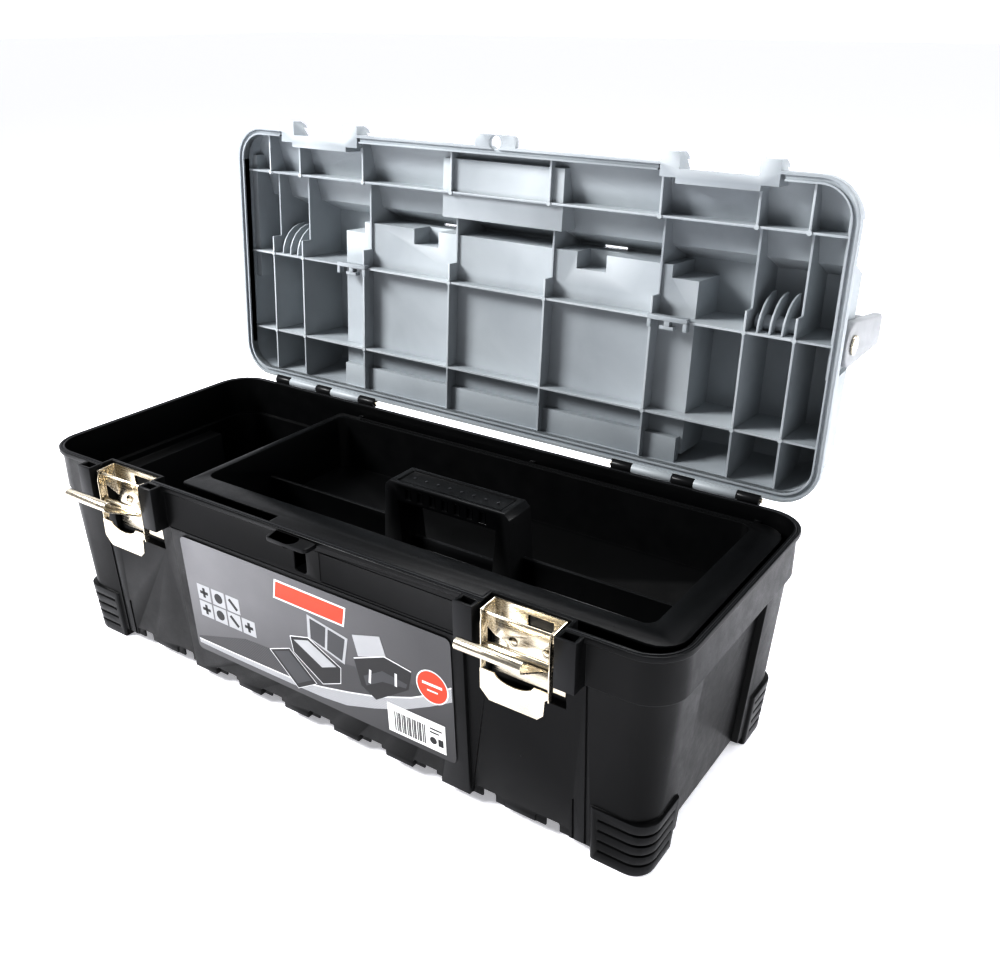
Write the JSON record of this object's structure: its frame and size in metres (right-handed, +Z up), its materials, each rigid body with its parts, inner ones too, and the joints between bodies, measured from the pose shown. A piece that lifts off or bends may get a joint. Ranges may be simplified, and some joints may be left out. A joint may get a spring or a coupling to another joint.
{
  "type": "toolbox with tray",
  "caption": "Long plastic toolbox with an open hinged lid, lift-out tray with a bar handle, two metal draw latches, small-parts organiser wells and a folding carrying handle.",
  "frame": {"origin": "on the floor, under the middle of the open box's bounding box", "axes": "+X along the box to its right end, +Y towards the hinge and the lid, +Z up"},
  "size_m": [0.66, 0.4354, 0.4753],
  "materials": {
    "black_polypropylene": "fine-grained satin black moulding",
    "grey_polypropylene": "fine-grained satin grey moulding",
    "light_grey_polypropylene": "satin light grey moulding",
    "clear_polystyrene": "clear gloss moulding",
    "nickel_plated_steel": "bright nickel plate on pressed steel",
    "printed_label": "laminated printed card"
  },
  "bodies": {
    "tub": {"tub_shell": "black_polypropylene", "front_label": "printed_label", "hinge_pin_left": "nickel_plated_steel", "hinge_pin_right": "nickel_plated_steel", "latch_base_left": "nickel_plated_steel", "latch_base_right": "nickel_plated_steel", "latch_rivet_left_a": "nickel_plated_steel", "latch_rivet_left_b": "nickel_plated_steel", "latch_rivet_right_a": "nickel_plated_steel", "latch_rivet_right_b": "nickel_plated_steel"},
    "lid": {"lid_shell": "grey_polypropylene"},
    "handle": {"handle_arm_left": "light_grey_polypropylene", "handle_arm_right": "light_grey_polypropylene", "handle_grip": "light_grey_polypropylene", "handle_pin_left": "nickel_plated_steel", "handle_pin_right": "nickel_plated_steel"},
    "tray": {"tray_shell": "black_polypropylene", "tray_handle": "black_polypropylene"},
    "lever_left": {"latch_lever_left": "nickel_plated_steel", "lever_pin_left": "nickel_plated_steel", "hook_pin_left": "nickel_plated_steel"},
    "hook_left": {"latch_hook_left": "nickel_plated_steel"},
    "cover_left": {"organiser_cover_left": "clear_polystyrene"},
    "lever_right": {"latch_lever_right": "nickel_plated_steel", "lever_pin_right": "nickel_plated_steel", "hook_pin_right": "nickel_plated_steel"},
    "hook_right": {"latch_hook_right": "nickel_plated_steel"},
    "cover_right": {"organiser_cover_right": "clear_polystyrene"}
  },
  "joints": [
    {"name": "lid_hinge", "type": "hinge", "parent": "tub", "child": "lid", "pos_m": [0, 0.0883, 0.1997], "axis": [-1, 0, 0], "range_deg": [-93.9, 0]},
    {"name": "handle_fold", "type": "hinge", "parent": "lid", "child": "handle", "pos_m": [0, 0.13666, 0.33127], "axis": [1, 0, 0], "range_deg": [0, 75]},
    {"name": "tray_lift", "type": "slide", "parent": "tub", "child": "tray", "axis": [0, 0, 1], "range_m": [0, 0.12]},
    {"name": "latch_lever_left", "type": "hinge", "parent": "tub", "child": "lever_left", "pos_m": [-0.2125, -0.1773, 0.1925], "axis": [-1, 0, 0], "range_deg": [0, 120]},
    {"name": "latch_hook_left", "type": "hinge", "parent": "lever_left", "child": "hook_left", "pos_m": [-0.2125, -0.1773, 0.166], "axis": [1, 0, 0], "range_deg": [-62, 0]},
    {"name": "organiser_cover_left", "type": "hinge", "parent": "lid", "child": "cover_left", "pos_m": [-0.09, 0.15908, 0.21898], "axis": [-1, 0, 0], "range_deg": [0, 12]},
    {"name": "latch_lever_right", "type": "hinge", "parent": "tub", "child": "lever_right", "pos_m": [0.2125, -0.1773, 0.1925], "axis": [-1, 0, 0], "range_deg": [0, 120]},
    {"name": "latch_hook_right", "type": "hinge", "parent": "lever_right", "child": "hook_right", "pos_m": [0.2125, -0.1773, 0.166], "axis": [1, 0, 0], "range_deg": [-62, 0]},
    {"name": "organiser_cover_right", "type": "hinge", "parent": "lid", "child": "cover_right", "pos_m": [0.09, 0.15908, 0.21898], "axis": [-1, 0, 0], "range_deg": [0, 12]}
  ]
}
